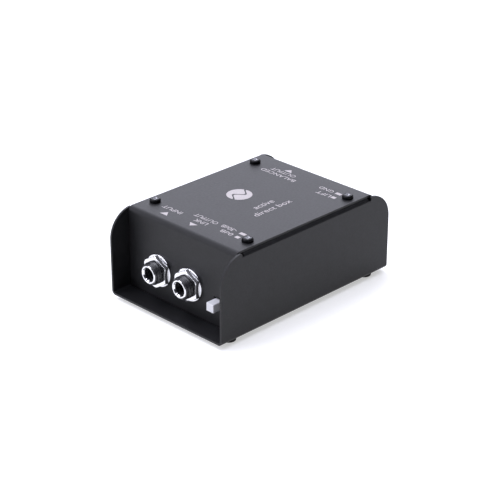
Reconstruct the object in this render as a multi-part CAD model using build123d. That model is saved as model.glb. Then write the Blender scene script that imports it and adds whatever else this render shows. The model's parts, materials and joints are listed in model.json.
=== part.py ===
from build123d import *

import os
from math import cos, radians, sin, sqrt, tan

# Active direct injection box: a folded steel case, two 6.35 mm jacks, an XLR output and two push switches.
# Millimetres. +X is the width, -Y is the jack panel, +Z is up. The origin is under the middle of the feet.

# --- Folded sheet case -------------------------------------------------------------------------------
SHEET = 1.2
CASE_WIDTH = 83.6
CASE_DEPTH = 127.0
FOOT_HEIGHT = 2.5
SIDE_TOP = FOOT_HEIGHT + 47.3
SIDE_CORNER_RADIUS = 15.6
BASE_BEND_RADIUS = 2.4
FLANGE_BEND_RADIUS = 2.5
FLANGE_INNER_X = 28.5
NOTCH_INNER_Y = 46.9
NOTCH_OUTER_Y = 48.5
NOTCH_FLOOR = FOOT_HEIGHT + 44.9
EAR_CORNER_RADIUS = 1.2

LID_TOP = FOOT_HEIGHT + 47.9
LID_WIDTH = 80.5
LID_BEND_RADIUS = 3.0
PANEL_Y = 51.5
PANEL_FOOT_GAP = 0.3

CASE_FLOOR = FOOT_HEIGHT + SHEET
LID_UNDERSIDE = LID_TOP - SHEET
PANEL_INSIDE_Y = PANEL_Y - SHEET

# --- Screws and feet ---------------------------------------------------------------------------------
SCREW_X = 34.5
SCREW_Y = 37.6
SCREW_RADIUS = 1.5
SCREW_HEAD_RADIUS = 3.05
SCREW_HEAD_HEIGHT = 2.0
SCREW_RECESS_WIDTH = 3.9
SCREW_RECESS_DEPTH = 1.3
SCREW_HEAD_ROUNDING = 1.0
SCREW_LENGTH = 6.0
RECESS_ARMS_PER_WIDTH = 4.4
PRESS_NUT_RADIUS = 3.2
PRESS_NUT_HEIGHT = 2.5
FOOT_X = 35.3
FOOT_Y = 52.1
FOOT_RADIUS = 4.2
FOOT_TAPER = 0.4
FOOT_ROUNDING = 0.5

# --- Gaps around a fastener: snug in its nut, loose in its hole, and clear of a panel's edge -----------
SNUG_GAP = 0.05
LOOSE_GAP = 0.1
CLEAR_GAP = 0.2

# --- Circuit board -----------------------------------------------------------------------------------
BOARD_TOP = 13.0
BOARD_THICKNESS = 1.6
BOARD_HALF_WIDTH = 38.5
BOARD_FRONT_Y = -49.5
BOARD_BACK_Y = 47.0
LEAD_LENGTH = BOARD_THICKNESS + 1.0
LEAD_CLEARANCE = 0.25
LEAD_RADIUS = 0.3
THIN_LEAD_RADIUS = 0.25
LEAD_ENTRY = 0.6
CHIP_PLACES = [(-5.0, -15.0), (9.0, -15.0)]
CHIP_LEAD_PITCH = 2.54
CHIP_ROW_SPACING = 7.62
ELECTROLYTIC_PLACES = [(33.5, -24.0 + 9.0 * n) for n in range(6)]
FILM_PLACES = [(-32.5, -45.0 + 5.0 * n) for n in range(4)]
RESISTOR_PLACES = [(x, -21.5 + 3.5 * n) for x in (-16.5, 22.5) for n in range(4)]
TRANSISTOR_PLACES = [(-35.5, -23.0), (-35.5, -16.0)]

# --- Jacks, on the front panel -----------------------------------------------------------------------
JACK_Z = 21.0
JACK_X = {"input": -16.8, "link": 6.6}
JACK_BODY = 16.0
JACK_BODY_DEPTH = 24.5
JACK_BODY_CORNER = 0.8
JACK_WALL = 1.4
LEAF_WIDTH = 3.0
LEAF_THICKNESS = 0.4
LEAF_PIN_OFFSET = (5.4, -30.0)
SLEEVE_PIN_Y = -39.0
JACK_BUSH_RADIUS = 6.0
JACK_BUSH_TIP_RADIUS = 5.3
JACK_TAPER_Y = -57.6
JACK_BUSH_END_Y = -59.3
JACK_NOSE_Y = -59.6
JACK_MOUTH_RADIUS = 3.6
JACK_MOUTH_END_Y = -56.5
JACK_BORE_RADIUS = 3.25
JACK_BORE_END_Y = -46.5
FERRULE_RADIUS = 5.1
FERRULE_MOUTH_RADIUS = 4.2
FERRULE_BORE_RADIUS = 3.7
FERRULE_THICKNESS = 1.0
FERRULE_SKIRT_RADII = (4.3, 4.75)
FERRULE_SKIRT_END = 2.6
FERRULE_EDGE = 0.25
FERRULE_NOTCH_ANGLES = (207, 248)
FERRULE_NOTCH_DEPTH = 0.5
FERRULE_NOTCH_WIDTH = 0.8
WASHER_RADIUS = 9.2
WASHER_THICKNESS = 1.1
WASHER_ROUNDING = 0.35
NUT_FLATS = 16.0
NUT_THICKNESS = 2.5
NUT_CHAMFER = 0.35
NUT_FACE_RADIUS = 8.6
NUT_HOLE_CHAMFER = 0.25

# --- Push switches: pad at the front, ground lift at the rear ----------------------------------------
SWITCH_X = 27.3
SWITCH_Z = 17.2
CAP_WIDTH = 5.1
CAP_HEIGHT = 4.75
CAP_FRONT_Y = 57.5
CAP_BACK_Y = 50.6
CAP_FACE_THICKNESS = 1.5
CAP_SIDE_ROUNDING = 0.35
CAP_FACE_ROUNDING = 0.25
CUTOUT_SIZE = 6.6
SWITCH_BODY = 8.4
SWITCH_FRONT_Y = 47.0
SWITCH_BACK_Y = 34.0
SWITCH_WALL = 0.9
STEM_SIZE = 3.0
SLIDER_SIZE = 6.0
SLIDER_LENGTH = 4.5
MOVING_GAP = 0.3
SPRING_WIRE_RADIUS = 0.22
SPRING_COIL_RADIUS = 1.9
SPRING_TURNS = 5
SWITCH_LEAD_X = 2.5
SWITCH_LEAD_Y = (37.0, 40.5, 44.0)

# --- XLR output, on the rear panel -------------------------------------------------------------------
XLR_X = -13.3
XLR_Z = 26.0
XLR_FLANGE_WIDTH = 26.0
XLR_FLANGE_HEIGHT = 31.0
XLR_FLANGE_THICKNESS = 2.0
XLR_FLANGE_CORNER = 3.0
XLR_RIM_STEP = 0.6
XLR_RIM_CHAMFER = 0.5
XLR_LATCH_WIDTH = 5.2
XLR_LATCH_Y = (42.3, 47.8)
XLR_FACE_Y = 54.2
XLR_BACK_Y = 33.0
XLR_OUTER_RADIUS = 11.8
XLR_WELL_RADIUS = 9.55
XLR_INSERT_FRONT_Y = 37.5
XLR_PIN_RADIUS = 1.2
XLR_SHANK_RADIUS = 1.0
XLR_PIN_END_Y = 50.2
XLR_PIN_ROUNDING = 0.8
XLR_PIN_CIRCLE = 6.35
XLR_PIN_ANGLES = (45, 135, 270)
XLR_TAIL_RADIUS = 0.6
XLR_TAIL_Y = 31.4
XLR_SCREW_OFFSET = (9.5, 12.0)
XLR_SCREW_HEAD_RADIUS = 2.8
XLR_SCREW_HEAD_DEPTH = 1.25
XLR_NUT_FLATS = 5.5
XLR_NUT_THICKNESS = 2.4

# --- Battery -----------------------------------------------------------------------------------------
BATTERY_X = (-22.4, 24.0)
BATTERY_Y = (-4.0, 22.5)
BATTERY_HEIGHT = 17.5
BATTERY_EDGE_RADIUS = 2.0
CLIP_THICKNESS = 0.6
CLIP_LENGTH = 18.0
CLIP_ARM_LENGTH = 12.0
CLIP_ARM_HEIGHT = 13.0
CLIP_LIP = 2.2
RIVET_SPACING = 10.0
RIVET_RADIUS = 1.0
RIVET_HEAD_RADIUS = 2.0
RIVET_HEAD_THICKNESS = 0.6
BATTERY_BOTTOM = BOARD_TOP + CLIP_THICKNESS
STUD_SPACING = 12.7
STUD_RADIUS = 2.8
HEX_STUD_RADIUS = 4.1
STUD_HEIGHT = 2.0
SNAP_REACH = 6.5
SNAP_HEIGHT = 12.0
SNAP_GAP = 0.2
SNAP_THICKNESS = 4.0
BATTERY_LEAD_RADIUS = 0.6

board_holes = []


def span(x, y, z):
    """A block between two limits along each axis."""
    centre = [(low + high) / 2 for low, high in (x, y, z)]
    size = [high - low for low, high in (x, y, z)]
    return Pos(*centre) * Box(*size)


def rod(start, direction, radius, length):
    """A round bar that starts at a point and runs along a direction."""
    along = Plane(origin=start, z_dir=direction)
    return along * Cylinder(radius, length, align=(Align.CENTER, Align.CENTER, Align.MIN))


def turned(outline, origin, direction):
    """A turned piece: an outline of (radius, distance) points, revolved about a direction."""
    face = make_face(Polyline(*[(radius, 0, distance) for radius, distance in outline], close=True))
    return Plane(origin=origin, z_dir=direction) * revolve(face, Axis.Z)


def group(pieces):
    """Separate solids that share one node."""
    return Compound(children=[solid for piece in pieces for solid in piece.solids()])


def rounded_panel(width, height, radius, thickness, centre, direction):
    """A flat plate with rounded corners, its back face at the centre point."""
    plate = extrude(RectangleRounded(width, height, radius), thickness)
    return Plane(origin=centre, x_dir=(1, 0, 0), z_dir=direction) * plate


def lead(x, y, radius, top=BOARD_TOP):
    """A solder lead down through the board, which gets a hole for it."""
    board_holes.append((x, y, radius + LEAD_CLEARANCE))
    return rod((x, y, top), (0, 0, -1), radius, top - BOARD_TOP + LEAD_LENGTH)


# --- Case --------------------------------------------------------------------------------------------
def folded_section(width, bottom, top, bottom_radius, top_radius):
    """Outline of a folded channel, with its bends rounded, in the X-Z plane."""
    section = Pos(0, (bottom + top) / 2) * Rectangle(width, top - bottom)
    corners = section.vertices().sort_by(Axis.Y)
    section = fillet(corners[:2], bottom_radius) if bottom_radius else section
    corners = section.vertices().sort_by(Axis.Y)
    return fillet(corners[-2:], top_radius) if top_radius else section


def channel(width, depth, bottom, top, bottom_radius, top_radius):
    """A hollow channel of sheet, along Y, closed at the sides named by its bend radii."""
    outer = folded_section(width, bottom, top, bottom_radius, top_radius)
    inner = folded_section(
        width - 2 * SHEET,
        bottom + SHEET,
        top - SHEET if top_radius else top + SHEET,
        bottom_radius - SHEET,
        top_radius - SHEET if top_radius else 0,
    )
    along = Plane(origin=(0, depth / 2, 0), x_dir=(1, 0, 0), z_dir=(0, -1, 0))
    return along * extrude(outer - inner, depth)


def chassis_base():
    """Base and sides in one sheet: round-cornered ears at the ends, flanges under the lid between them."""
    flanged = channel(
        CASE_WIDTH, 2 * NOTCH_INNER_Y, FOOT_HEIGHT, LID_UNDERSIDE, BASE_BEND_RADIUS, FLANGE_BEND_RADIUS
    )
    flanged -= span(
        (-FLANGE_INNER_X, FLANGE_INNER_X), (-NOTCH_INNER_Y, NOTCH_INNER_Y), (NOTCH_FLOOR, SIDE_TOP)
    )
    plain = channel(CASE_WIDTH, CASE_DEPTH, FOOT_HEIGHT, SIDE_TOP, BASE_BEND_RADIUS, 0)
    side = Pos(0, (FOOT_HEIGHT + SIDE_TOP) / 2) * Rectangle(CASE_DEPTH, SIDE_TOP - FOOT_HEIGHT)
    side = fillet(side.vertices().sort_by(Axis.Y)[-2:], SIDE_CORNER_RADIUS)
    side -= Pos(0, SIDE_TOP) * Rectangle(2 * NOTCH_OUTER_Y, 2 * (SIDE_TOP - NOTCH_FLOOR))
    upper = [corner for corner in side.vertices() if corner.Y > SIDE_TOP - EAR_CORNER_RADIUS]
    ear_tips = sorted(upper, key=lambda corner: abs(corner.X))[:2]
    side = fillet(ear_tips, EAR_CORNER_RADIUS)
    across = Plane(origin=(-CASE_WIDTH / 2, 0, 0), x_dir=(0, 1, 0), z_dir=(1, 0, 0))
    case = plain & (across * extrude(side, CASE_WIDTH))
    case += flanged
    for x, y in screw_places():
        case -= rod((x, y, LID_TOP), (0, 0, -1), SCREW_RADIUS + LOOSE_GAP, SCREW_LENGTH)
    return case.solid()


def lid_cover():
    """Top, front panel and rear panel in one sheet, which sits between the chassis sides."""
    bottom = CASE_FLOOR + PANEL_FOOT_GAP
    outer = Pos(0, (bottom + LID_TOP) / 2) * Rectangle(2 * PANEL_Y, LID_TOP - bottom)
    outer = fillet(outer.vertices().sort_by(Axis.Y)[-2:], LID_BEND_RADIUS)
    inner = Pos(0, (bottom + LID_TOP) / 2 - SHEET) * Rectangle(2 * PANEL_INSIDE_Y, LID_TOP - bottom)
    inner = fillet(inner.vertices().sort_by(Axis.Y)[-2:], LID_BEND_RADIUS - SHEET)
    across = Plane(origin=(-LID_WIDTH / 2, 0, 0), x_dir=(0, 1, 0), z_dir=(1, 0, 0))
    lid = across * extrude(outer - inner, LID_WIDTH)
    through = 3 * SHEET
    for x, y in screw_places():
        lid -= rod((x, y, LID_TOP + SHEET), (0, 0, -1), SCREW_RADIUS + CLEAR_GAP, through)
    for x in JACK_X.values():
        lid -= rod((x, -PANEL_Y - SHEET, JACK_Z), (0, 1, 0), JACK_BUSH_RADIUS + CLEAR_GAP, through)
    for side in (-1, 1):
        lid -= Pos(SWITCH_X, side * PANEL_Y, SWITCH_Z) * Box(CUTOUT_SIZE, 2 * through, CUTOUT_SIZE)
    lid -= rod((XLR_X, PANEL_Y + SHEET, XLR_Z), (0, -1, 0), XLR_OUTER_RADIUS + CLEAR_GAP, through)
    for x, z in xlr_screw_places():
        lid -= rod((x, PANEL_Y + SHEET, z), (0, -1, 0), SCREW_RADIUS + LOOSE_GAP, through)
    return lid.solid()


def screw_places():
    """The four lid screws, front left first."""
    return [(x, y) for y in (-SCREW_Y, SCREW_Y) for x in (-SCREW_X, SCREW_X)]


def cross_recess(width, depth):
    """A cross recess: two crossed slots and a small cone at their middle, opening at Z = 0."""
    arm = width / RECESS_ARMS_PER_WIDTH
    cross = Box(width, arm, 2 * depth) + Box(arm, width, 2 * depth)
    return cross + Pos(0, 0, -depth / 2) * Cone(arm * 0.8, width / 3, depth)


def lid_screw(x, y):
    """A pan head screw, its recess turned so that its arms point along the case's diagonals."""
    head = rod((x, y, LID_TOP), (0, 0, 1), SCREW_HEAD_RADIUS, SCREW_HEAD_HEIGHT)
    head = fillet(head.edges().filter_by(GeomType.CIRCLE).sort_by(Axis.Z)[-1], SCREW_HEAD_ROUNDING)
    shank = rod((x, y, LID_TOP), (0, 0, -1), SCREW_RADIUS, SCREW_LENGTH)
    facing = Pos(x, y, LID_TOP + SCREW_HEAD_HEIGHT) * Rot(0, 0, 45)
    return head + shank - facing * cross_recess(SCREW_RECESS_WIDTH, SCREW_RECESS_DEPTH)


def press_nut(x, y):
    """A round nut pressed into the flange from below."""
    flange_bottom = (x, y, LID_UNDERSIDE - SHEET)
    nut = rod(flange_bottom, (0, 0, -1), PRESS_NUT_RADIUS, PRESS_NUT_HEIGHT)
    return nut - rod(flange_bottom, (0, 0, -1), SCREW_RADIUS + SNUG_GAP, PRESS_NUT_HEIGHT)


def rubber_foot(x, y):
    """A stick-on foot, a little narrower at the floor."""
    foot = Pos(x, y, FOOT_HEIGHT / 2) * Cone(FOOT_RADIUS - FOOT_TAPER, FOOT_RADIUS, FOOT_HEIGHT)
    return fillet(foot.edges().filter_by(GeomType.CIRCLE).sort_by(Axis.Z)[0], FOOT_ROUNDING)


def foot_places():
    """The four feet."""
    return [(x, y) for y in (-FOOT_Y, FOOT_Y) for x in (-FOOT_X, FOOT_X)]


# --- Jacks -------------------------------------------------------------------------------------------
def jack_bush(x):
    """Round bush through the panel, tapered at its tip."""
    taper = -PANEL_INSIDE_Y - JACK_TAPER_Y
    end = -PANEL_INSIDE_Y - JACK_BUSH_END_Y
    side = [(JACK_BUSH_RADIUS, 0), (JACK_BUSH_RADIUS, taper), (JACK_BUSH_TIP_RADIUS, end)]
    return turned([(0, 0), *side, (0, end)], (x, -PANEL_INSIDE_Y, JACK_Z), (0, -1, 0))


def jack_housing(x):
    """Moulded jack body and bush, with a bore for the plug, a seat for the ring and a contact chamber."""
    half = JACK_BODY / 2
    room = half - JACK_WALL
    back = -PANEL_INSIDE_Y + JACK_BODY_DEPTH
    nose = (x, JACK_NOSE_Y, JACK_Z)
    inner, outer = FERRULE_SKIRT_RADII
    body = span((x - half, x + half), (-PANEL_INSIDE_Y, back), (JACK_Z - half, JACK_Z + half))
    body = fillet(body.edges().filter_by(Axis.Y), JACK_BODY_CORNER)
    body += jack_bush(x)
    body -= span((x - room, x + room), (JACK_BORE_END_Y, back - JACK_WALL), (JACK_Z - room, JACK_Z + room))
    body -= rod(nose, (0, 1, 0), JACK_BORE_RADIUS, JACK_BORE_END_Y - JACK_NOSE_Y)
    body -= rod(nose, (0, 1, 0), JACK_MOUTH_RADIUS, JACK_MOUTH_END_Y - JACK_NOSE_Y)
    body -= rod(nose, (0, 1, 0), FERRULE_RADIUS, FERRULE_THICKNESS)
    body -= rod(nose, (0, 1, 0), outer, FERRULE_SKIRT_END) - rod(nose, (0, 1, 0), inner, FERRULE_SKIRT_END)
    for pin_x, pin_y in jack_pin_places(x):
        body -= rod((pin_x, pin_y, BOARD_TOP), (0, 0, 1), 3 * LEAD_RADIUS, 2 * JACK_WALL)
    return body.solid()


def jack_pin_places(x):
    """Where the tip, ring and sleeve contacts of one jack go down into the board."""
    across, y = LEAF_PIN_OFFSET
    return [(x - across, y), (x + across, y), (x, SLEEVE_PIN_Y)]


def jack_ferrule(x):
    """Bright ring on the nose, funnelled and notched, with a skirt that is pressed into the bush."""
    inner, outer = FERRULE_SKIRT_RADII
    outline = [
        (FERRULE_RADIUS, FERRULE_EDGE),
        (FERRULE_RADIUS - FERRULE_EDGE, 0),
        (FERRULE_MOUTH_RADIUS, 0),
        (FERRULE_BORE_RADIUS, FERRULE_THICKNESS - FERRULE_EDGE),
        (FERRULE_BORE_RADIUS, FERRULE_THICKNESS),
        (inner, FERRULE_THICKNESS),
        (inner, FERRULE_SKIRT_END),
        (outer, FERRULE_SKIRT_END),
        (outer, FERRULE_THICKNESS),
        (FERRULE_RADIUS, FERRULE_THICKNESS),
    ]
    ring = turned(outline, (x, JACK_NOSE_Y, JACK_Z), (0, 1, 0))
    notch = Box(2 * FERRULE_NOTCH_DEPTH, 2 * FERRULE_THICKNESS, FERRULE_NOTCH_WIDTH)
    for angle in FERRULE_NOTCH_ANGLES:
        ring -= Pos(x, JACK_NOSE_Y, JACK_Z) * Rot(0, -angle, 0) * Pos(FERRULE_BORE_RADIUS, 0, 0) * notch
    return ring.solid()


def jack_washer(x):
    """Flat round washer between the nut and the panel."""
    panel = (x, -PANEL_Y, JACK_Z)
    washer = rod(panel, (0, -1, 0), WASHER_RADIUS, WASHER_THICKNESS)
    washer = fillet(washer.edges().filter_by(GeomType.CIRCLE).sort_by(Axis.Y)[0], WASHER_ROUNDING)
    return washer - rod(panel, (0, -1, 0), JACK_BUSH_RADIUS + SNUG_GAP, WASHER_THICKNESS)


def jack_nut(x):
    """Hexagonal nut with flats at its sides, chamfered corners and a chamfered hole."""
    back = (x, -PANEL_Y - WASHER_THICKNESS, JACK_Z)
    facing = Plane(origin=back, x_dir=(1, 0, 0), z_dir=(0, -1, 0))
    corner = NUT_FLATS / sqrt(3)
    hole = JACK_BUSH_RADIUS + SNUG_GAP
    crown = [
        (hole, 0),
        (corner, 0),
        (corner, NUT_THICKNESS - NUT_CHAMFER),
        (NUT_FACE_RADIUS, NUT_THICKNESS),
        (hole + NUT_HOLE_CHAMFER, NUT_THICKNESS),
        (hole, NUT_THICKNESS - NUT_HOLE_CHAMFER),
    ]
    nut = facing * extrude(RegularPolygon(corner, 6, rotation=30), NUT_THICKNESS)
    return (nut & turned(crown, back, (0, -1, 0))).solid()


def contact_leaf(x, side):
    """A bowed strip beside the plug's path: in towards the plug, out again, then straight to its lead."""
    line = [(5.2, -44.0), (3.7, -37.0), (5.2, -32.5), (5.2, -29.6)]
    back = [(offset + LEAF_THICKNESS, y) for offset, y in reversed(line)]
    face = make_face(Polyline(*[(x + side * offset, y) for offset, y in line + back], close=True))
    return Pos(0, 0, JACK_Z - LEAF_WIDTH / 2) * extrude(face, LEAF_WIDTH)


def jack_contacts(x):
    """Two bowed leaf contacts beside the plug's path and a sleeve contact below it, with their leads."""
    *leaf_pins, (sleeve_x, sleeve_y) = jack_pin_places(x)
    leaf_bottom = JACK_Z - LEAF_WIDTH / 2
    contacts = [
        contact_leaf(x, side) + lead(pin_x, pin_y, LEAD_RADIUS, top=leaf_bottom + LEAF_THICKNESS)
        for (pin_x, pin_y), side in zip(leaf_pins, (-1, 1))
    ]
    strip_top = JACK_Z - JACK_BORE_RADIUS - LEAF_THICKNESS
    strip = span(
        (x - LEAF_WIDTH / 2, x + LEAF_WIDTH / 2),
        (JACK_BORE_END_Y + LEAF_THICKNESS, sleeve_y + LEAF_THICKNESS),
        (strip_top - LEAF_THICKNESS, strip_top),
    )
    contacts.append(strip + lead(sleeve_x, sleeve_y, LEAD_RADIUS, top=strip_top - LEAF_THICKNESS / 2))
    return group(contacts)


# --- Push switches -----------------------------------------------------------------------------------
def facing_out(shape, side):
    """Turns a piece made for the rear panel to face the front panel when side is -1."""
    return shape if side > 0 else mirror(shape, Plane.XZ)


def switch_block(half, y, hollow=0):
    """A square block about the button's axis, between two limits along Y, inset all round by a wall."""
    reach = half - hollow
    low, high = y
    height = (SWITCH_Z - reach, SWITCH_Z + reach)
    return span((SWITCH_X - reach, SWITCH_X + reach), (low + hollow, high - hollow), height)


def switch_housing(side):
    """Closed switch case with a square window for the stem."""
    case = switch_block(SWITCH_BODY / 2, (SWITCH_BACK_Y, SWITCH_FRONT_Y))
    case -= switch_block(SWITCH_BODY / 2, (SWITCH_BACK_Y, SWITCH_FRONT_Y), hollow=SWITCH_WALL)
    window = STEM_SIZE / 2 + MOVING_GAP
    case -= switch_block(window, (SWITCH_FRONT_Y - 2 * SWITCH_WALL, SWITCH_FRONT_Y + SWITCH_WALL))
    return facing_out(case, side).solid()


def switch_slider(side):
    """Slider block inside the case and the square stem that carries the cap."""
    front = SWITCH_FRONT_Y - SWITCH_WALL - MOVING_GAP
    block = switch_block(SLIDER_SIZE / 2, (front - SLIDER_LENGTH, front))
    block += switch_block(STEM_SIZE / 2, (front, CAP_FRONT_Y - CAP_FACE_THICKNESS))
    return facing_out(block, side).solid()


def switch_cap(side):
    """Rectangular push cap with a socket for the stem."""
    cap = span(
        (SWITCH_X - CAP_WIDTH / 2, SWITCH_X + CAP_WIDTH / 2),
        (CAP_BACK_Y, CAP_FRONT_Y),
        (SWITCH_Z - CAP_HEIGHT / 2, SWITCH_Z + CAP_HEIGHT / 2),
    )
    cap = fillet(cap.edges().filter_by(Axis.Y), CAP_SIDE_ROUNDING)
    cap = fillet(cap.faces().sort_by(Axis.Y)[-1].edges(), CAP_FACE_ROUNDING)
    cap -= switch_block(STEM_SIZE / 2, (CAP_BACK_Y, CAP_FRONT_Y - CAP_FACE_THICKNESS))
    return facing_out(cap, side).solid()


def switch_spring(side):
    """Return spring between the slider and the back wall of the switch."""
    start = SWITCH_BACK_Y + SWITCH_WALL + SPRING_WIRE_RADIUS
    end = SWITCH_FRONT_Y - SWITCH_WALL - MOVING_GAP - SLIDER_LENGTH - SPRING_WIRE_RADIUS
    height = end - start
    path = Helix(pitch=height / SPRING_TURNS, height=height, radius=SPRING_COIL_RADIUS)
    wire = sweep(Plane(origin=path @ 0, z_dir=path % 0) * Circle(SPRING_WIRE_RADIUS), path=path)
    return facing_out(Plane(origin=(SWITCH_X, start, SWITCH_Z), z_dir=(0, 1, 0)) * wire, side).solid()


def switch_leads(side):
    """Two rows of three solder leads."""
    rows = (SWITCH_X - SWITCH_LEAD_X, SWITCH_X + SWITCH_LEAD_X)
    return group([lead(x, side * y, LEAD_RADIUS) for x in rows for y in SWITCH_LEAD_Y])


# --- XLR output --------------------------------------------------------------------------------------
def xlr_screw_places():
    """Two screws at opposite corners of the XLR flange."""
    across, up = XLR_SCREW_OFFSET
    return [(XLR_X - across, XLR_Z + up), (XLR_X + across, XLR_Z - up)]


def xlr_shell():
    """Cast flange and tube around the contact pins, with a latch window in the top of the tube."""
    shell = rounded_panel(
        XLR_FLANGE_WIDTH,
        XLR_FLANGE_HEIGHT,
        XLR_FLANGE_CORNER,
        XLR_FLANGE_THICKNESS,
        (XLR_X, PANEL_Y, XLR_Z),
        (0, 1, 0),
    )
    back = (XLR_X, XLR_BACK_Y, XLR_Z)
    shell += rod(back, (0, 1, 0), XLR_OUTER_RADIUS, PANEL_Y - XLR_BACK_Y)
    shell += rod((XLR_X, PANEL_Y, XLR_Z), (0, 1, 0), XLR_OUTER_RADIUS - XLR_RIM_STEP, XLR_FACE_Y - PANEL_Y)
    shell = chamfer(shell.edges().filter_by(GeomType.CIRCLE).sort_by(Axis.Y)[-1], XLR_RIM_CHAMFER)
    shell -= rod(back, (0, 1, 0), XLR_WELL_RADIUS, XLR_FACE_Y - XLR_BACK_Y)
    latch_height = (XLR_Z + XLR_WELL_RADIUS - SHEET, XLR_Z + XLR_OUTER_RADIUS + SHEET)
    shell -= span((XLR_X - XLR_LATCH_WIDTH / 2, XLR_X + XLR_LATCH_WIDTH / 2), XLR_LATCH_Y, latch_height)
    for x, z in xlr_screw_places():
        shell -= xlr_screw_shape(x, z, LOOSE_GAP)
    return shell.solid()


def xlr_insert():
    """Moulded disc that carries the contact pins."""
    depth = XLR_INSERT_FRONT_Y - XLR_BACK_Y
    insert = rod((XLR_X, XLR_BACK_Y, XLR_Z), (0, 1, 0), XLR_WELL_RADIUS, depth)
    for x, z in xlr_pin_places():
        insert -= rod((x, XLR_BACK_Y, z), (0, 1, 0), XLR_SHANK_RADIUS + SNUG_GAP, depth)
    return insert.solid()


def xlr_pin_places():
    """Contacts 1, 2 and 3 on their circle: two above the middle and one below it."""
    turns = [radians(angle) for angle in XLR_PIN_ANGLES]
    return [(XLR_X + XLR_PIN_CIRCLE * cos(turn), XLR_Z + XLR_PIN_CIRCLE * sin(turn)) for turn in turns]


def xlr_pins():
    """Three round-ended contact pins, each with a thinner shank and a tail down into the board."""
    pins = []
    shank_y = XLR_TAIL_Y - XLR_TAIL_RADIUS
    for x, z in xlr_pin_places():
        pin = rod((x, XLR_INSERT_FRONT_Y, z), (0, 1, 0), XLR_PIN_RADIUS, XLR_PIN_END_Y - XLR_INSERT_FRONT_Y)
        pin = fillet(pin.edges().filter_by(GeomType.CIRCLE).sort_by(Axis.Y)[-1], XLR_PIN_ROUNDING)
        pin += rod((x, shank_y, z), (0, 1, 0), XLR_SHANK_RADIUS, XLR_INSERT_FRONT_Y - shank_y)
        pins.append(pin + lead(x, XLR_TAIL_Y, XLR_TAIL_RADIUS, top=z))
    return group(pins)


def xlr_screw_shape(x, z, gap):
    """A countersunk screw's outline with a gap all round, flush with the XLR flange."""
    head = XLR_SCREW_HEAD_RADIUS + gap
    shank = SCREW_RADIUS + gap
    outline = [(0, 0), (head, 0), (shank, XLR_SCREW_HEAD_DEPTH), (shank, SCREW_LENGTH), (0, SCREW_LENGTH)]
    return turned(outline, (x, PANEL_Y + XLR_FLANGE_THICKNESS, z), (0, -1, 0))


def xlr_screw(x, z):
    """Countersunk screw with a cross recess."""
    facing = Plane(origin=(x, PANEL_Y + XLR_FLANGE_THICKNESS, z), z_dir=(0, 1, 0))
    return xlr_screw_shape(x, z, 0) - facing * cross_recess(XLR_SCREW_HEAD_RADIUS, XLR_SCREW_HEAD_RADIUS / 3)


def xlr_nut(x, z):
    """Hexagonal nut behind the rear panel."""
    panel = (x, PANEL_INSIDE_Y, z)
    facing = Plane(origin=panel, x_dir=(1, 0, 0), z_dir=(0, -1, 0))
    nut = facing * extrude(RegularPolygon(XLR_NUT_FLATS / sqrt(3), 6), XLR_NUT_THICKNESS)
    return nut - rod(panel, (0, -1, 0), SCREW_RADIUS + SNUG_GAP, XLR_NUT_THICKNESS)


# --- Board and its components ------------------------------------------------------------------------
def main_board():
    """Circuit board that the jacks, switches and XLR are soldered to, drilled for every lead."""
    board = span(
        (-BOARD_HALF_WIDTH, BOARD_HALF_WIDTH),
        (BOARD_FRONT_Y, BOARD_BACK_Y),
        (BOARD_TOP - BOARD_THICKNESS, BOARD_TOP),
    )
    above = BOARD_TOP + BOARD_THICKNESS
    drills = [rod((x, y, above), (0, 0, -1), radius, 3 * BOARD_THICKNESS) for x, y, radius in board_holes]
    return (board - drills).solid()


def leads(places):
    """Leads that run a little way into the body above them."""
    return [lead(x, y, LEAD_RADIUS, top=BOARD_TOP + LEAD_ENTRY) for x, y in places]


def op_amp(x, y):
    """Eight-lead chip with a notch at its first lead."""
    length, width, bottom, top = 9.6, 6.4, BOARD_TOP + 0.6, BOARD_TOP + 3.9
    notch_radius, notch_depth, shoulder_width = 0.8, 0.4, 1.2
    shoulder = (BOARD_TOP + 1.6, BOARD_TOP + 1.9)
    chip = span((x - length / 2, x + length / 2), (y - width / 2, y + width / 2), (bottom, top))
    chip = chamfer(chip.edges().filter_by(Axis.X).group_by(Axis.Z)[-1], 0.5)
    chip -= rod((x - length / 2, y, top), (0, 0, -1), notch_radius, notch_depth)
    for column in range(4):
        lead_x = x + (column - 1.5) * CHIP_LEAD_PITCH
        for lead_y in (y - CHIP_ROW_SPACING / 2, y + CHIP_ROW_SPACING / 2):
            reach = sorted((y, lead_y + (LEAD_RADIUS if lead_y > y else -LEAD_RADIUS)))
            chip += span((lead_x - shoulder_width / 2, lead_x + shoulder_width / 2), reach, shoulder)
            chip += lead(lead_x, lead_y, LEAD_RADIUS, top=shoulder[1])
    return chip.solid()


def electrolytic(x, y):
    """Round can capacitor with a rolled groove above its bung."""
    radius, height, bottom, groove = 3.15, 11.1, 0.2, 0.4
    outline = [
        (0, bottom),
        (radius, bottom),
        (radius, 4 * groove),
        (radius - groove, 5 * groove),
        (radius, 6 * groove),
        (radius, height - groove),
        (radius - groove, height),
        (0, height),
    ]
    can = turned(outline, (x, y, BOARD_TOP), (0, 0, 1))
    return can + leads([(x, y - 1.25), (x, y + 1.25)])


def film_capacitor(x, y):
    """Box capacitor, its leads 5 mm apart."""
    length, width, bottom, top = 7.2, 2.6, BOARD_TOP + 0.2, BOARD_TOP + 6.7
    box = span((x - length / 2, x + length / 2), (y - width / 2, y + width / 2), (bottom, top))
    box = fillet(box.edges().filter_by(Axis.Z), 0.4)
    return box + leads([(x - 2.5, y), (x + 2.5, y)])


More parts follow.
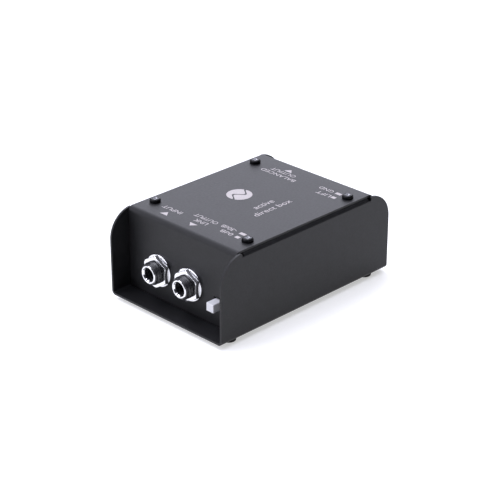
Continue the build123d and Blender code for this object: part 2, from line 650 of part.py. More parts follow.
def resistor(x, y):
    """Axial resistor lying along X, with its two leads bent down."""
    length, cap_radius, waist_radius, cap_length, edge = 6.3, 1.15, 0.95, 1.2, 0.3
    height = BOARD_TOP + cap_radius + 0.15
    lead_reach = 5.3
    end = [
        (cap_radius - edge, 0),
        (cap_radius, edge),
        (cap_radius, cap_length),
        (waist_radius, cap_length + edge),
    ]
    far_end = [(radius, length - distance) for radius, distance in reversed(end)]
    body = turned([(0, 0), *end, *far_end, (0, length)], (x - length / 2, y, height), (1, 0, 0))
    body += rod((x - lead_reach, y, height), (1, 0, 0), LEAD_RADIUS, 2 * lead_reach)
    for lead_x in (x - lead_reach, x + lead_reach):
        body += Pos(lead_x, y, height) * Sphere(LEAD_RADIUS)
        body += lead(lead_x, y, LEAD_RADIUS, top=height)
    return body.solid()


def transistor(x, y):
    """Small flat-faced transistor on three leads."""
    radius, bottom, top, flat, pitch = 2.3, BOARD_TOP + 2.0, BOARD_TOP + 6.6, 1.2, 1.27
    body = rod((x, y, bottom), (0, 0, 1), radius, top - bottom)
    body &= span((x - radius, x + flat), (y - radius, y + radius), (bottom, top))
    for lead_y in (y - pitch, y, y + pitch):
        body += lead(x, lead_y, THIN_LEAD_RADIUS, top=bottom + LEAD_ENTRY)
    return body.solid()


# --- Battery -----------------------------------------------------------------------------------------
def battery_case():
    """Nine volt block with rounded long edges."""
    case = span(BATTERY_X, BATTERY_Y, (BATTERY_BOTTOM, BATTERY_BOTTOM + BATTERY_HEIGHT))
    return fillet(case.edges().filter_by(Axis.X), BATTERY_EDGE_RADIUS).solid()


def stud_places():
    """The battery's two studs, on its left end."""
    y = sum(BATTERY_Y) / 2
    z = BATTERY_BOTTOM + BATTERY_HEIGHT / 2
    return [(BATTERY_X[0], y - STUD_SPACING / 2, z), (BATTERY_X[0], y + STUD_SPACING / 2, z)]


def stud_pair(gap, height):
    """A round stud and a larger six-sided one, with a gap all round."""
    small, large = stud_places()
    hexagon = extrude(RegularPolygon(HEX_STUD_RADIUS + gap, 6), height)
    left = Plane(origin=large, z_dir=(-1, 0, 0))
    return [rod(small, (-1, 0, 0), STUD_RADIUS + gap, height), left * hexagon]


def snap_connector():
    """Moulded strip that snaps over both studs."""
    small, large = stud_places()
    face = BATTERY_X[0] - SNAP_GAP
    strip = span(
        (face - SNAP_THICKNESS, face),
        (small[1] - SNAP_REACH, large[1] + SNAP_REACH),
        (small[2] - SNAP_HEIGHT / 2, small[2] + SNAP_HEIGHT / 2),
    )
    strip = fillet(strip.edges().filter_by(Axis.X), SNAP_THICKNESS)
    return (strip - stud_pair(LOOSE_GAP, STUD_HEIGHT + LOOSE_GAP)).solid()


def tube_along(points, radius):
    """Wire along straight runs joined by arcs as large as the runs allow."""
    runs = [Vector(*b) - Vector(*a) for a, b in zip(points, points[1:])]
    radii = []
    for before, after in zip(runs, runs[1:]):
        half_turn = radians(before.get_angle(after)) / 2
        radii.append(0.45 * min(before.length, after.length) / tan(half_turn))
    print("bend radii", [round(bend, 1) for bend in radii])
    path = FilletPolyline(*points, radius=radii)
    return sweep(Plane(origin=path @ 0, z_dir=path % 0) * Circle(radius), path=path)


def battery_leads():
    """Two insulated wires from the snap connector, one above the other, forwards and down to the board."""
    x = BATTERY_X[0] - SNAP_GAP - SNAP_THICKNESS / 2
    small = stud_places()[0]
    y = small[1] - SNAP_REACH
    z = small[2]
    upper = [
        (x, y, z + 1.5),
        (x, y - 5.5, z + 1.5),
        (x - 1.5, y - 10.5, z - 2.0),
        (x - 1.5, y - 10.5, BOARD_TOP),
    ]
    lower = [
        (x, y, z - 1.5),
        (x, y - 3.4, z - 1.5),
        (x + 0.8, y - 6.6, z - 3.8),
        (x + 0.8, y - 6.6, BOARD_TOP),
    ]
    return group([tube_along(upper, BATTERY_LEAD_RADIUS), tube_along(lower, BATTERY_LEAD_RADIUS)])


def battery_clip():
    """Spring steel cradle under the battery, its two arms lipped over the long edges."""
    centre_x = sum(BATTERY_X) / 2
    arm_x = (centre_x - CLIP_ARM_LENGTH / 2, centre_x + CLIP_ARM_LENGTH / 2)
    arm_top = BATTERY_BOTTOM + CLIP_ARM_HEIGHT
    base_x = (centre_x - CLIP_LENGTH / 2, centre_x + CLIP_LENGTH / 2)
    clip = span(base_x, BATTERY_Y, (BOARD_TOP, BATTERY_BOTTOM))
    for edge, side in zip(BATTERY_Y, (-1, 1)):
        clip += span(arm_x, sorted((edge, edge + side * CLIP_THICKNESS)), (BOARD_TOP, arm_top))
        clip += span(arm_x, sorted((edge, edge + side * CLIP_LIP)), (arm_top, arm_top + CLIP_THICKNESS))
    for x, y in rivet_places():
        clip -= rod((x, y, BOARD_TOP), (0, 0, 1), RIVET_RADIUS + LOOSE_GAP, CLIP_THICKNESS)
    return clip.solid()


def rivet_places():
    """The two rivets that hold the clip to the board."""
    centre_x = sum(BATTERY_X) / 2
    y = sum(BATTERY_Y) / 2
    return [(centre_x - RIVET_SPACING / 2, y), (centre_x + RIVET_SPACING / 2, y)]


def clip_rivet(x, y):
    """Flush rivet through the clip and the board, headed below."""
    board_holes.append((x, y, RIVET_RADIUS + LOOSE_GAP))
    board_bottom = BOARD_TOP - BOARD_THICKNESS
    shank = rod((x, y, BATTERY_BOTTOM), (0, 0, -1), RIVET_RADIUS, BATTERY_BOTTOM - board_bottom)
    return shank + rod((x, y, board_bottom), (0, 0, -1), RIVET_HEAD_RADIUS, RIVET_HEAD_THICKNESS)


def build():
    """Every node, by name. The board comes last, because the other pieces give it its holes."""
    nodes = {
        "chassis_base": chassis_base(),
        "lid_cover": lid_cover(),
        "lid_screws": group([lid_screw(x, y) for x, y in screw_places()]),
        "press_nuts": group([press_nut(x, y) for x, y in screw_places()]),
        "rubber_feet": group([rubber_foot(x, y) for x, y in foot_places()]),
        "xlr_shell": xlr_shell(),
        "xlr_insert": xlr_insert(),
        "xlr_contact_pins": xlr_pins(),
        "xlr_screws": group([xlr_screw(x, z) for x, z in xlr_screw_places()]),
        "xlr_nuts": group([xlr_nut(x, z) for x, z in xlr_screw_places()]),
        "battery": battery_case(),
        "battery_studs": group(stud_pair(0, STUD_HEIGHT)),
        "battery_snap": snap_connector(),
        "battery_leads": battery_leads(),
        "battery_clip": battery_clip(),
        "clip_rivets": group([clip_rivet(x, y) for x, y in rivet_places()]),
        "op_amp_chips": group([op_amp(x, y) for x, y in CHIP_PLACES]),
        "electrolytic_capacitors": group([electrolytic(x, y) for x, y in ELECTROLYTIC_PLACES]),
        "film_capacitors": group([film_capacitor(x, y) for x, y in FILM_PLACES]),
        "resistors": group([resistor(x, y) for x, y in RESISTOR_PLACES]),
        "transistors": group([transistor(x, y) for x, y in TRANSISTOR_PLACES]),
    }
    for name, x in JACK_X.items():
        nodes[f"{name}_jack_housing"] = jack_housing(x)
        nodes[f"{name}_jack_ferrule"] = jack_ferrule(x)
        nodes[f"{name}_jack_washer"] = jack_washer(x)
        nodes[f"{name}_jack_nut"] = jack_nut(x)
        nodes[f"{name}_jack_contacts"] = jack_contacts(x)
    for name, side in (("pad", -1), ("ground_lift", 1)):
        nodes[f"{name}_switch_housing"] = switch_housing(side)
        nodes[f"{name}_switch_slider"] = switch_slider(side)
        nodes[f"{name}_button_cap"] = switch_cap(side)
        nodes[f"{name}_switch_spring"] = switch_spring(side)
        nodes[f"{name}_switch_leads"] = switch_leads(side)
    nodes["circuit_board"] = main_board()
    return nodes


os.makedirs("parts", exist_ok=True)
for node, shape in build().items():
    export_step(shape, f"parts/{node}.step")
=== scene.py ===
"""Looks of the direct injection box: studio, camera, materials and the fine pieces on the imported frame.

Lengths are in metres, except where a name or comment says millimetres. MM turns millimetres into metres.
+X is the width, the jack panel faces -Y, and +Z is up.
"""
import json
from math import atan2, cos, pi, radians, sin

import bmesh
import bpy
from mathutils import Matrix, Vector


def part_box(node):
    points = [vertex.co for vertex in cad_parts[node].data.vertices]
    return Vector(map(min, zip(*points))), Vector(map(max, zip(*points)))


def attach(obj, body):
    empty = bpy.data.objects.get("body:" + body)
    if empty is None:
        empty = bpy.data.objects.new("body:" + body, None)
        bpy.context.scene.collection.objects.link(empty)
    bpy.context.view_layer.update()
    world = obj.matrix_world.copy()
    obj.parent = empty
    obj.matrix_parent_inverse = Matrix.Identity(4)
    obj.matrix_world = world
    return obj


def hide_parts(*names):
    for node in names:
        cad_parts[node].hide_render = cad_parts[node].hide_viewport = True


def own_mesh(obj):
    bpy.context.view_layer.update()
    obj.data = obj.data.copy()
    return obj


MM = 0.001

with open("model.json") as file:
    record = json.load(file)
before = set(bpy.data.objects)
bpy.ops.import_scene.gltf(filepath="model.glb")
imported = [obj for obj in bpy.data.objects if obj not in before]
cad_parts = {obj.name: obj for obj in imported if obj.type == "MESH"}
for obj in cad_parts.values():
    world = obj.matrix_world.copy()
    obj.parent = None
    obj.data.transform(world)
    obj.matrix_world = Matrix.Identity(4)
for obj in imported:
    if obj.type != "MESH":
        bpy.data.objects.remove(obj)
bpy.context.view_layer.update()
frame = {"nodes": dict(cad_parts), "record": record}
nodes = frame["nodes"]

# --- Camera ------------------------------------------------------------------------------------------
CAMERA_AZIMUTH = 44.833
CAMERA_ELEVATION = 25.728
CAMERA_DISTANCE = 0.8806
CAMERA_AIM = Vector((0.0004, -0.0016, 0.0215))
CAMERA_LENS_MM = 118.1
SENSOR_WIDTH_MM = 36.0

# --- Studio ------------------------------------------------------------------------------------------
FLOOR_SIZE = 16.0
FLOOR_ALBEDO = 0.62
FLOOR_ROUGHNESS = 0.9
FLOOR_GLOW = 0.50
COOL_WHITE = (0.94, 0.95, 1.08)
WORLD_STRENGTH = 0.07
# Each broad soft light: name, azimuth and elevation it shines from, its angular width, and its irradiance.
SOFT_LIGHTS = [
    ("back_left_light", 225.0, 34.0, 56.0, 2.05),
    ("left_light", 290.0, 62.0, 40.0, 1.0),
    ("front_left_light", 330.0, 28.0, 45.0, 1.6),
    ("overhead_light", 0.0, 86.0, 60.0, 2.6),
]

# --- Print on the lid, in millimetres apart from the ink's thickness ---------------------------------
INK_THICKNESS = 0.02 * MM
# Lettering before it is scaled to its place, in the font's own units.
FONT_EXTRUDE = 0.5
FONT_CURVE_STEPS = 6
FONT_MERGE = 0.0005
LETTER_HEIGHT = 2.9
# Port names: text, the X where it starts and ends, and the Y of its middle.
PORT_NAMES = [
    ("INPUT", -13.4, -27.2, -38.2),
    ("LINK", 5.9, -3.2, -38.4),
    ("OUTPUT", 8.9, -7.6, -33.9),
    ("0dB", 24.0, 15.7, -38.0),
    ("-30dB", 22.1, 11.9, -33.5),
    ("OUTPUT", -4.7, -22.2, 38.5),
    ("BALANCED", -0.8, -25.9, 34.0),
    ("GND", 23.9, 14.2, 38.0),
    ("LIFT", 26.7, 17.1, 32.5),
]
# Button position marks: low and high X, low and high Y.
BUTTON_MARKS = [
    (26.4, 29.1, -39.2, -36.9),
    (25.0, 29.0, -34.6, -32.4),
    (25.7, 29.6, 37.0, 39.2),
    (27.5, 30.3, 31.6, 33.8),
]
# Direction arrows: the middle of the base, and the tip, as (x, y).
ARROWS = [
    ((-19.5, -45.5), (-19.5, -42.0)),
    ((0.3, -42.3), (0.3, -45.4)),
    ((-12.5, 40.9), (-12.5, 43.9)),
]
ARROW_WIDTH = 5.4
# Round badge, and the words beside it: text, X of its middle, and length.
BADGE_CENTRE = (-9.5, 0.3)
BADGE_RADIUS = 7.0
BADGE_STEPS = 48
WAVE_SPAN = 0.98
WAVE_SWING = 2.2
WAVE_REACH = 4.6
WAVE_GAP = 1.3
KIND_LINES = [("active", 8.8, 14.0), ("direct box", 15.4, 27.0)]
KIND_HEIGHT = 3.7

# --- Fine details ------------------------------------------------------------------------------------
CASE_EDGE_ROUNDING = 0.22 * MM
NUT_EDGE_ROUNDING = 0.10 * MM
ROUNDING_SEGMENTS = 2
MERGE_DISTANCE = 0.001 * MM
FLAT_ANGLE = radians(0.5)
SHARP_ANGLE = radians(40)
CREASE_ANGLE = radians(35)
TURN_STEPS = 96
SCREW_HEAD_RADIUS = 3.05 * MM
SCREW_RECESS_RADIUS = 2.0 * MM
SCREW_RECESS_LIP = 0.02 * MM
SCREW_RECESS_METAL = 0.4
THREAD_PITCH = 1.5 * MM
THREAD_DEPTH = 0.36 * MM
THREAD_STEPS = 8
# How far the valleys, and the thread's inner side, lie under the bush's surface, as shares of its depth.
THREAD_SINK = 0.1
THREAD_ROOT = 0.5
BUSH_RADIUS = 6.0 * MM
BUSH_TIP_RADIUS = 5.3 * MM
BUSH_TAPER_LENGTH = 1.7 * MM
FERRULE_STANDS_PROUD = 0.3 * MM


# --- Node helpers ------------------------------------------------------------------------------------
def new_material(name, color, roughness, metallic=0.0, **sockets):
    """A material with one shader, whose uniform values are set on its own sockets."""
    material = bpy.data.materials.new(name)
    material.use_nodes = True
    shader = material.node_tree.nodes["Principled BSDF"]
    shader.inputs["Base Color"].default_value = (*color, 1.0)
    shader.inputs["Roughness"].default_value = roughness
    shader.inputs["Metallic"].default_value = metallic
    for socket, value in sockets.items():
        shader.inputs[socket.replace("_", " ")].default_value = value
    return material


def node(material, kind, **values):
    """A node with its properties and sockets set by name."""
    made = material.node_tree.nodes.new(kind)
    for name, value in values.items():
        if hasattr(made, name):
            setattr(made, name, value)
        else:
            made.inputs[name.replace("_", " ")].default_value = value
    return made


def link(material, source, target):
    """Joins an output socket to an input socket."""
    material.node_tree.links.new(source, target)


def shader_of(material):
    """The material's shader node."""
    return material.node_tree.nodes["Principled BSDF"]


def place_of(material):
    """The point in metres, in the object's own frame."""
    return node(material, "ShaderNodeTexCoord").outputs["Object"]


def noise(material, size_mm):
    """Noise whose blobs are about the given size."""
    made = node(material, "ShaderNodeTexNoise", Scale=1.0 / (size_mm * MM))
    link(material, place_of(material), made.inputs["Vector"])
    return made.outputs["Fac"]


def ramp(material, factor, stops):
    """A colour ramp through (position, colour) stops."""
    made = node(material, "ShaderNodeValToRGB")
    elements = made.color_ramp.elements
    while len(elements) < len(stops):
        elements.new(0.5)
    for element, (position, color) in zip(elements, stops):
        element.position = position
        element.color = (*color, 1.0)
    link(material, factor, made.inputs["Fac"])
    return made.outputs["Color"]


def spread(material, factor, low, high):
    """Maps a factor from its middle half to a range."""
    made = node(material, "ShaderNodeMapRange", From_Min=0.25, From_Max=0.75, To_Min=low, To_Max=high)
    link(material, factor, made.inputs["Value"])
    return made.outputs["Result"]


def mottle(material, size_mm, dark, light):
    """Colour that drifts between two close tones."""
    color = ramp(material, noise(material, size_mm), [(0.3, dark), (0.7, light)])
    link(material, color, shader_of(material).inputs["Base Color"])


def vary_roughness(material, size_mm, low, high):
    """Roughness that drifts between two values."""
    value = spread(material, noise(material, size_mm), low, high)
    link(material, value, shader_of(material).inputs["Roughness"])


def grain(material, size_mm, depth_mm, strength=1.0):
    """Fine surface relief."""
    bump = node(material, "ShaderNodeBump", Strength=strength, Distance=depth_mm * MM)
    link(material, noise(material, size_mm), bump.inputs["Height"])
    link(material, bump.outputs["Normal"], shader_of(material).inputs["Normal"])


# --- Materials ---------------------------------------------------------------------------------------
def powder_coat():
    """Fine satin black powder coat: a faint orange peel with pinpoint grain."""
    material = new_material("powder_coat", (0.005, 0.005, 0.006), 0.5, Specular_IOR_Level=0.3)
    mottle(material, 6.0, (0.0040, 0.0040, 0.0046), (0.0060, 0.0060, 0.0070))
    vary_roughness(material, 1.2, 0.44, 0.52)
    grain(material, 0.35, 0.012, 0.6)
    return material


def recess_mask(material):
    """1 inside the lid screws' cross recesses, which mirror each other in X and Y, and 0 elsewhere."""
    low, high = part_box("lid_screws")
    split = node(material, "ShaderNodeSeparateXYZ")
    link(material, place_of(material), split.inputs["Vector"])
    offsets = node(material, "ShaderNodeCombineXYZ")
    for axis, edge in (("X", high.x), ("Y", high.y)):
        size = node(material, "ShaderNodeMath", operation="ABSOLUTE")
        link(material, split.outputs[axis], size.inputs[0])
        offset = node(material, "ShaderNodeMath", operation="SUBTRACT")
        link(material, size.outputs["Value"], offset.inputs[0])
        offset.inputs[1].default_value = edge - SCREW_HEAD_RADIUS
        link(material, offset.outputs["Value"], offsets.inputs[axis])
    radius = node(material, "ShaderNodeVectorMath", operation="LENGTH")
    link(material, offsets.outputs["Vector"], radius.inputs[0])
    near = node(material, "ShaderNodeMath", operation="LESS_THAN")
    link(material, radius.outputs["Value"], near.inputs[0])
    near.inputs[1].default_value = SCREW_RECESS_RADIUS
    below = node(material, "ShaderNodeMath", operation="LESS_THAN")
    link(material, split.outputs["Z"], below.inputs[0])
    below.inputs[1].default_value = high.z - SCREW_RECESS_LIP
    both = node(material, "ShaderNodeMath", operation="MULTIPLY")
    link(material, near.outputs["Value"], both.inputs[0])
    link(material, below.outputs["Value"], both.inputs[1])
    return both.outputs["Value"]


def black_steel():
    """Matt black screws with bare metal in their recesses, where a pale colour also paints in the
    highlights on the recess facets.
    """
    # The pale recess colour is bare metal and also a painted highlight on the recess facets.
    black, bright = (0.004, 0.004, 0.005), (0.62, 0.62, 0.64)
    material = new_material("black_steel", black, 0.5, Specular_IOR_Level=0.12)
    mask = recess_mask(material)
    color = ramp(material, mask, [(0.0, black), (1.0, bright)])
    link(material, color, shader_of(material).inputs["Base Color"])
    metal = node(material, "ShaderNodeMath", operation="MULTIPLY")
    link(material, mask, metal.inputs[0])
    metal.inputs[1].default_value = SCREW_RECESS_METAL
    link(material, metal.outputs["Value"], shader_of(material).inputs["Metallic"])
    vary_roughness(material, 0.5, 0.30, 0.42)
    grain(material, 0.2, 0.004, 0.4)
    return material


def chrome():
    """Bright chrome with faint polishing haze."""
    material = new_material("chrome", (0.74, 0.74, 0.75), 0.08, metallic=1.0)
    mottle(material, 2.0, (0.70, 0.70, 0.71), (0.78, 0.78, 0.79))
    vary_roughness(material, 1.5, 0.06, 0.14)
    return material


def plated(name, color, low, high, size_mm=1.0):
    """Zinc, nickel, tin or bare steel."""
    material = new_material(name, color, low, metallic=1.0)
    mottle(material, size_mm * 2, tuple(0.88 * part for part in color), color)
    vary_roughness(material, size_mm, low, high)
    grain(material, size_mm * 0.3, 0.003, 0.4)
    return material


def moulded(name, color, low, high, grain_mm=0.25):
    """Moulded plastic with a fine spark-eroded texture."""
    material = new_material(name, color, low)
    mottle(material, 3.0, tuple(0.9 * part for part in color), color)
    vary_roughness(material, 0.8, low, high)
    grain(material, grain_mm, 0.006, 0.5)
    return material


def rubber():
    """Soft matt rubber with dust in its pores."""
    material = new_material("rubber", (0.018, 0.018, 0.018), 0.8, Specular_IOR_Level=0.3)
    mottle(material, 0.8, (0.012, 0.012, 0.012), (0.028, 0.027, 0.026))
    vary_roughness(material, 0.6, 0.7, 0.92)
    grain(material, 0.3, 0.02, 0.6)
    return material


def ink():
    """Pale screen-printed ink, slightly uneven."""
    material = new_material("ink", (0.37, 0.34, 0.34), 0.6)
    mottle(material, 0.5, (0.32, 0.295, 0.295), (0.42, 0.385, 0.385))
    vary_roughness(material, 0.4, 0.5, 0.7)
    return material


def bands_along_x(material, period_mm, start_mm, stops):
    """Colour bands that repeat along X."""
    split = node(material, "ShaderNodeSeparateXYZ")
    link(material, place_of(material), split.inputs["Vector"])
    shift = node(material, "ShaderNodeMath", operation="SUBTRACT")
    link(material, split.outputs["X"], shift.inputs[0])
    shift.inputs[1].default_value = start_mm * MM
    scale = node(material, "ShaderNodeMath", operation="DIVIDE")
    link(material, shift.outputs["Value"], scale.inputs[0])
    scale.inputs[1].default_value = period_mm * MM
    part = node(material, "ShaderNodeMath", operation="FRACT")
    link(material, scale.outputs["Value"], part.inputs[0])
    color = ramp(material, part.outputs["Value"], stops)
    color.node.color_ramp.interpolation = "CONSTANT"
    link(material, color, shader_of(material).inputs["Base Color"])


def battery_jacket():
    """Lacquered steel jacket with plain bands."""
    material = new_material("battery_jacket", (0.05, 0.08, 0.12), 0.25, metallic=0.6)
    low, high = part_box("battery")
    length = (high.x - low.x) / MM
    dark, pale, silver = (0.03, 0.06, 0.10), (0.55, 0.57, 0.60), (0.70, 0.70, 0.68)
    bands = [(0.0, silver), (0.06, dark), (0.62, pale), (0.70, dark), (0.95, silver)]
    bands_along_x(material, length, low.x / MM, bands)
    vary_roughness(material, 3.0, 0.2, 0.34)
    return material


def resistor_lacquer():
    """Pale blue lacquer with colour bands, and tinned leads at both ends."""
    material = new_material("resistor_lacquer", (0.25, 0.45, 0.6), 0.3)
    tin, body, brown = (0.6, 0.6, 0.58), (0.30, 0.50, 0.62), (0.10, 0.03, 0.01)
    red, black, gold = (0.45, 0.02, 0.02), (0.01, 0.01, 0.01), (0.45, 0.32, 0.08)
    column_pitch, first_start = 39.0, -36.0
    body_middle, body_length, band_width = -16.5, 6.3, 0.09
    begin = (body_middle - body_length / 2 - first_start) / column_pitch
    unit = body_length / column_pitch
    stops = [(0.0, tin), (begin, body)]
    for share, color in ((0.12, brown), (0.30, black), (0.46, red), (0.74, gold)):
        stops += [(begin + share * unit, color), (begin + (share + band_width) * unit, body)]
    bands_along_x(material, column_pitch, first_start, stops + [(begin + unit, tin)])
    vary_roughness(material, 1.0, 0.22, 0.36)
    return material


def board_laminate():
    """Green solder mask over copper tracks."""
    material = new_material("board_laminate", (0.01, 0.16, 0.06), 0.3)
    tracks = node(
        material, "ShaderNodeTexBrick", Scale=90.0, offset=0.5, squash=2.0, squash_frequency=3,
        Color1=(0.008, 0.10, 0.04, 1), Color2=(0.010, 0.13, 0.05, 1), Mortar=(0.03, 0.26, 0.10, 1),
        Mortar_Size=0.03, Brick_Width=0.6, Row_Height=0.22,
    )
    link(material, place_of(material), tracks.inputs["Vector"])
    link(material, tracks.outputs["Color"], shader_of(material).inputs["Base Color"])
    bump = node(material, "ShaderNodeBump", Strength=0.5, Distance=0.03 * MM)
    link(material, tracks.outputs["Fac"], bump.inputs["Height"])
    link(material, bump.outputs["Normal"], shader_of(material).inputs["Normal"])
    vary_roughness(material, 4.0, 0.25, 0.38)
    return material


def make_materials():
    """Every finish, by the record's slot name."""
    return {
        "powder_coat": powder_coat(),
        "black_steel": black_steel(),
        "chrome": chrome(),
        "zinc_steel": plated("zinc_steel", (0.62, 0.62, 0.60), 0.22, 0.38),
        "spring_steel": plated("spring_steel", (0.50, 0.50, 0.50), 0.22, 0.34),
        "nickel_casting": plated("nickel_casting", (0.60, 0.58, 0.54), 0.26, 0.38, 1.4),
        "contact_metal": plated("contact_metal", (0.70, 0.67, 0.60), 0.18, 0.30),
        "rubber": rubber(),
        "black_moulding": moulded("black_moulding", (0.020, 0.020, 0.022), 0.38, 0.52),
        "jack_moulding": moulded("jack_moulding", (0.020, 0.020, 0.022), 0.22, 0.34),
        "slider_moulding": moulded("slider_moulding", (0.72, 0.71, 0.66), 0.35, 0.5),
        "cap_moulding": moulded("cap_moulding", (0.59, 0.59, 0.61), 0.36, 0.48),
        "chip_epoxy": moulded("chip_epoxy", (0.025, 0.025, 0.026), 0.5, 0.65),
        "capacitor_sleeve": moulded("capacitor_sleeve", (0.02, 0.04, 0.14), 0.2, 0.3, 1.0),
        "film_box": moulded("film_box", (0.42, 0.07, 0.04), 0.2, 0.32, 1.0),
        "wire_insulation": moulded("wire_insulation", (0.30, 0.02, 0.02), 0.35, 0.5, 0.5),
        "battery_jacket": battery_jacket(),
        "resistor_lacquer": resistor_lacquer(),
        "board_laminate": board_laminate(),
        "ink": ink(),
    }


def dress_nodes(materials):
    """Gives each carried-over CAD node its finish."""
    for subpart in frame["record"]["subparts"]:
        for slot in nodes[subpart["node"]].material_slots:
            slot.material = materials[subpart["material_slot"]]


# --- Mesh helpers ------------------------------------------------------------------------------------
def add_piece(name, mesh, material):
    """A new piece, fixed to the case."""
    piece = bpy.data.objects.new(name, mesh)
    bpy.context.scene.collection.objects.link(piece)
    mesh.materials.clear()
    mesh.materials.append(material)
    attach(piece, "root")
    return piece


def rounded_copy(node_name, width, material):
    """A copy of a CAD node with its sharp edges rounded, which stands for it."""
    mesh = nodes[node_name].data.copy()
    shape = bmesh.new()
    shape.from_mesh(mesh)
    bmesh.ops.remove_doubles(shape, verts=shape.verts, dist=MERGE_DISTANCE)
    bmesh.ops.dissolve_limit(shape, angle_limit=FLAT_ANGLE, verts=shape.verts, edges=shape.edges)
    shape.to_mesh(mesh)
    shape.free()
    piece = add_piece(node_name + ".rounded", mesh, material)
    bevel = piece.modifiers.new("bevel", "BEVEL")
    bevel.width = width
    bevel.segments = ROUNDING_SEGMENTS
    bevel.angle_limit = SHARP_ANGLE
    bevel.harden_normals = True
    bevel.use_clamp_overlap = True
    for face in mesh.polygons:
        face.use_smooth = True
    mesh.set_sharp_from_angle(angle=CREASE_ANGLE)
    apply_modifiers(piece)
    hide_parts(node_name)
    return piece


def apply_modifiers(piece):
    """Turns a piece's modifiers into mesh."""
    graph = bpy.context.evaluated_depsgraph_get()
    mesh = bpy.data.meshes.new_from_object(piece.evaluated_get(graph), depsgraph=graph)
    piece.modifiers.clear()
    piece.data = mesh


def prism(name, outline, height, place):
    """A closed prism from an outline of (x, y) points in metres."""
    shape = bmesh.new()
    base = [shape.verts.new((x, y, 0.0)) for x, y in outline]
    face = shape.faces.new(base)
    raised = bmesh.ops.extrude_face_region(shape, geom=[face])
    top = [item for item in raised["geom"] if isinstance(item, bmesh.types.BMVert)]
    bmesh.ops.translate(shape, verts=top, vec=(0, 0, height))
    bmesh.ops.recalc_face_normals(shape, faces=shape.faces)
    mesh = bpy.data.meshes.new(name)
    shape.to_mesh(mesh)
    shape.free()
    mesh.transform(place)
    return mesh


def spun(name, outline, place):
    """A mesh turned about Z from a closed outline of (radius, height) points."""
    shape = bmesh.new()
    turn = [2 * pi * step / TURN_STEPS for step in range(TURN_STEPS)]
    rings = []
    for radius, height in outline:
        rings.append([shape.verts.new((radius * cos(a), radius * sin(a), height)) for a in turn])
    for inner, outer in zip(rings, rings[1:] + rings[:1]):
        for step in range(TURN_STEPS):
            after = (step + 1) % TURN_STEPS
            shape.faces.new((inner[step], inner[after], outer[after], outer[step]))
    bmesh.ops.recalc_face_normals(shape, faces=shape.faces)
    mesh = bpy.data.meshes.new(name)
    shape.to_mesh(mesh)
    shape.free()
    for face in mesh.polygons:
        face.use_smooth = True
    mesh.set_sharp_from_angle(angle=SHARP_ANGLE)
    mesh.transform(place)
    return mesh


# --- Print -------------------------------------------------------------------------------------------
def text_mesh(name, words, width, height):
    """Raised lettering, centred on the origin and scaled to the given width and height in metres."""
    curve = bpy.data.curves.new(name, "FONT")
    curve.body = words
    curve.extrude = FONT_EXTRUDE
    curve.resolution_u = FONT_CURVE_STEPS
    holder = bpy.data.objects.new(name + "_curve", curve)
    bpy.context.scene.collection.objects.link(holder)
    graph = bpy.context.evaluated_depsgraph_get()
    mesh = bpy.data.meshes.new_from_object(holder.evaluated_get(graph), depsgraph=graph)
    bpy.data.objects.remove(holder)
    shape = bmesh.new()
    shape.from_mesh(mesh)
    bmesh.ops.remove_doubles(shape, verts=shape.verts, dist=FONT_MERGE)
    low = [min(v.co[axis] for v in shape.verts) for axis in range(3)]
    high = [max(v.co[axis] for v in shape.verts) for axis in range(3)]
    for vert in shape.verts:
        vert.co.x = (vert.co.x - (low[0] + high[0]) / 2) * width / (high[0] - low[0])
        vert.co.y = (vert.co.y - (low[1] + high[1]) / 2) * height / (high[1] - low[1])
        vert.co.z = (vert.co.z - low[2]) * INK_THICKNESS / (high[2] - low[2])
    shape.to_mesh(mesh)
    shape.free()
    return mesh


def lid_place(x_mm, y_mm, turn_deg):
    """A frame on the lid's top, turned about Z."""
    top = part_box("lid_cover")[1].z
    return Matrix.Translation((x_mm * MM, y_mm * MM, top)) @ Matrix.Rotation(radians(turn_deg), 4, "Z")


def port_names(material):
    """Port names, which read from behind the box."""
    for index, (words, start, end, middle_y) in enumerate(PORT_NAMES):
        mesh = text_mesh(f"print_{index}", words, abs(end - start) * MM, LETTER_HEIGHT * MM)
        mesh.transform(lid_place((start + end) / 2, middle_y, 180))
        add_piece(f"print_port_{index}", mesh, material)


def flat_print(name, outline_mm, material):
    """One printed shape from its outline on the lid."""
    outline = [(x * MM, y * MM) for x, y in outline_mm]
    mesh = prism(name, outline, INK_THICKNESS, lid_place(0, 0, 0))
    add_piece(name, mesh, material)


def button_marks(material):
    """Filled squares beside the button's two settings."""
    for index, (left, right, front, back) in enumerate(BUTTON_MARKS):
        corners = [(left, front), (right, front), (right, back), (left, back)]
        flat_print(f"print_mark_{index}", corners, material)


def arrows(material):
    """Signal direction arrows."""
    half = ARROW_WIDTH / 2
    for index, ((base_x, base_y), tip) in enumerate(ARROWS):
        corners = [(base_x - half, base_y), tip, (base_x + half, base_y)]
        flat_print(f"print_arrow_{index}", corners, material)


def wave_line(side):
    """A sine wave across the badge, shifted to one side by half the gap."""
    points = []
    for step in range(BADGE_STEPS + 1):
        y = WAVE_SPAN * BADGE_RADIUS * (2 * step / BADGE_STEPS - 1)
        x = WAVE_SWING * sin(pi * y / WAVE_REACH) + side * WAVE_GAP / 2
        if x * x + y * y < BADGE_RADIUS ** 2:
            points.append((x, y))
    return points


def badge(material):
    """A round badge parted by a sine wave, as two filled halves."""
    centre_x, centre_y = BADGE_CENTRE
    for name, side in (("left", -1), ("right", 1)):
        outline = wave_line(side)
        end, start = [atan2(y, x) for x, y in (outline[0], outline[-1])]
        sweep = -side * ((-side * (end - start)) % (2 * pi))
        for step in range(1, BADGE_STEPS):
            angle = start + sweep * step / BADGE_STEPS
            outline.append((BADGE_RADIUS * cos(angle), BADGE_RADIUS * sin(angle)))
        flat_print(f"print_badge_{name}", [(centre_x + x, centre_y + y) for x, y in outline], material)


